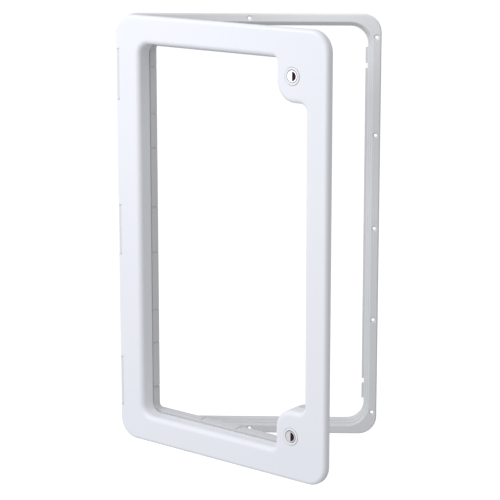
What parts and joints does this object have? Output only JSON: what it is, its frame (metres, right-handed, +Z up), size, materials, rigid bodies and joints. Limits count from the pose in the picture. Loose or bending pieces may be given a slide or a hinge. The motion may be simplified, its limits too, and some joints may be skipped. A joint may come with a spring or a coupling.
{
  "type": "caravan service door",
  "caption": "White hinged caravan service door with an open panel aperture and corner key locks, on a light grey stepped mounting frame with countersunk screw holes.",
  "frame": {"origin": "centre of the mounting frame, on the back face of its flange where it meets the wall", "axes": "+Z up, +Y into the wall, +X towards the lock side; the door hangs on the -X side and opens towards -Y"},
  "size_m": [0.3628, 0.252, 0.601],
  "materials": {
    "frame_grey": "light grey, fine satin moulding",
    "door_white": "white, satin gloss moulding",
    "rim_white": "off-white, fine satin moulding",
    "hinge_white": "white, satin gloss moulding",
    "bezel_white": "white, gloss moulding",
    "lock_chrome": "bright plating",
    "insert_black": "near-black moulding with a dark red tinge",
    "lock_zinc": "zinc plate",
    "pin_steel": "drawn steel"
  },
  "bodies": {
    "frame": {"mounting_frame": "frame_grey", "hinge_bracket_upper": "hinge_white", "hinge_bracket_middle": "hinge_white", "hinge_bracket_lower": "hinge_white", "hinge_pin_upper": "pin_steel", "hinge_pin_middle": "pin_steel", "hinge_pin_lower": "pin_steel"},
    "door": {"outer_door_frame": "door_white", "inner_door_frame": "rim_white", "lock_bezel_upper": "bezel_white", "lock_sleeve_upper": "lock_zinc", "lock_nut_upper": "lock_zinc", "lock_bezel_lower": "bezel_white", "lock_sleeve_lower": "lock_zinc", "lock_nut_lower": "lock_zinc"},
    "upper_lock": {"lock_plug_upper": "lock_chrome", "lock_insert_upper": "insert_black", "lock_cam_upper": "lock_zinc", "lock_cam_screw_upper": "pin_steel"},
    "lower_lock": {"lock_plug_lower": "lock_chrome", "lock_insert_lower": "insert_black", "lock_cam_lower": "lock_zinc", "lock_cam_screw_lower": "pin_steel"}
  },
  "joints": [
    {"name": "door_swing", "type": "hinge", "parent": "frame", "child": "door", "pos_m": [-0.176, -0.0148, 0], "axis": [0, 0, -1], "range_deg": [-37, 73]},
    {"name": "upper_lock_turn", "type": "hinge", "parent": "door", "child": "upper_lock", "pos_m": [0.06096, -0.2005, 0.2396], "axis": [0.6018, 0.7986, 0], "range_deg": [-90, 0]},
    {"name": "lower_lock_turn", "type": "hinge", "parent": "door", "child": "lower_lock", "pos_m": [0.06096, -0.2005, -0.2396], "axis": [-0.6018, -0.7986, 0], "range_deg": [-90, 0]}
  ]
}
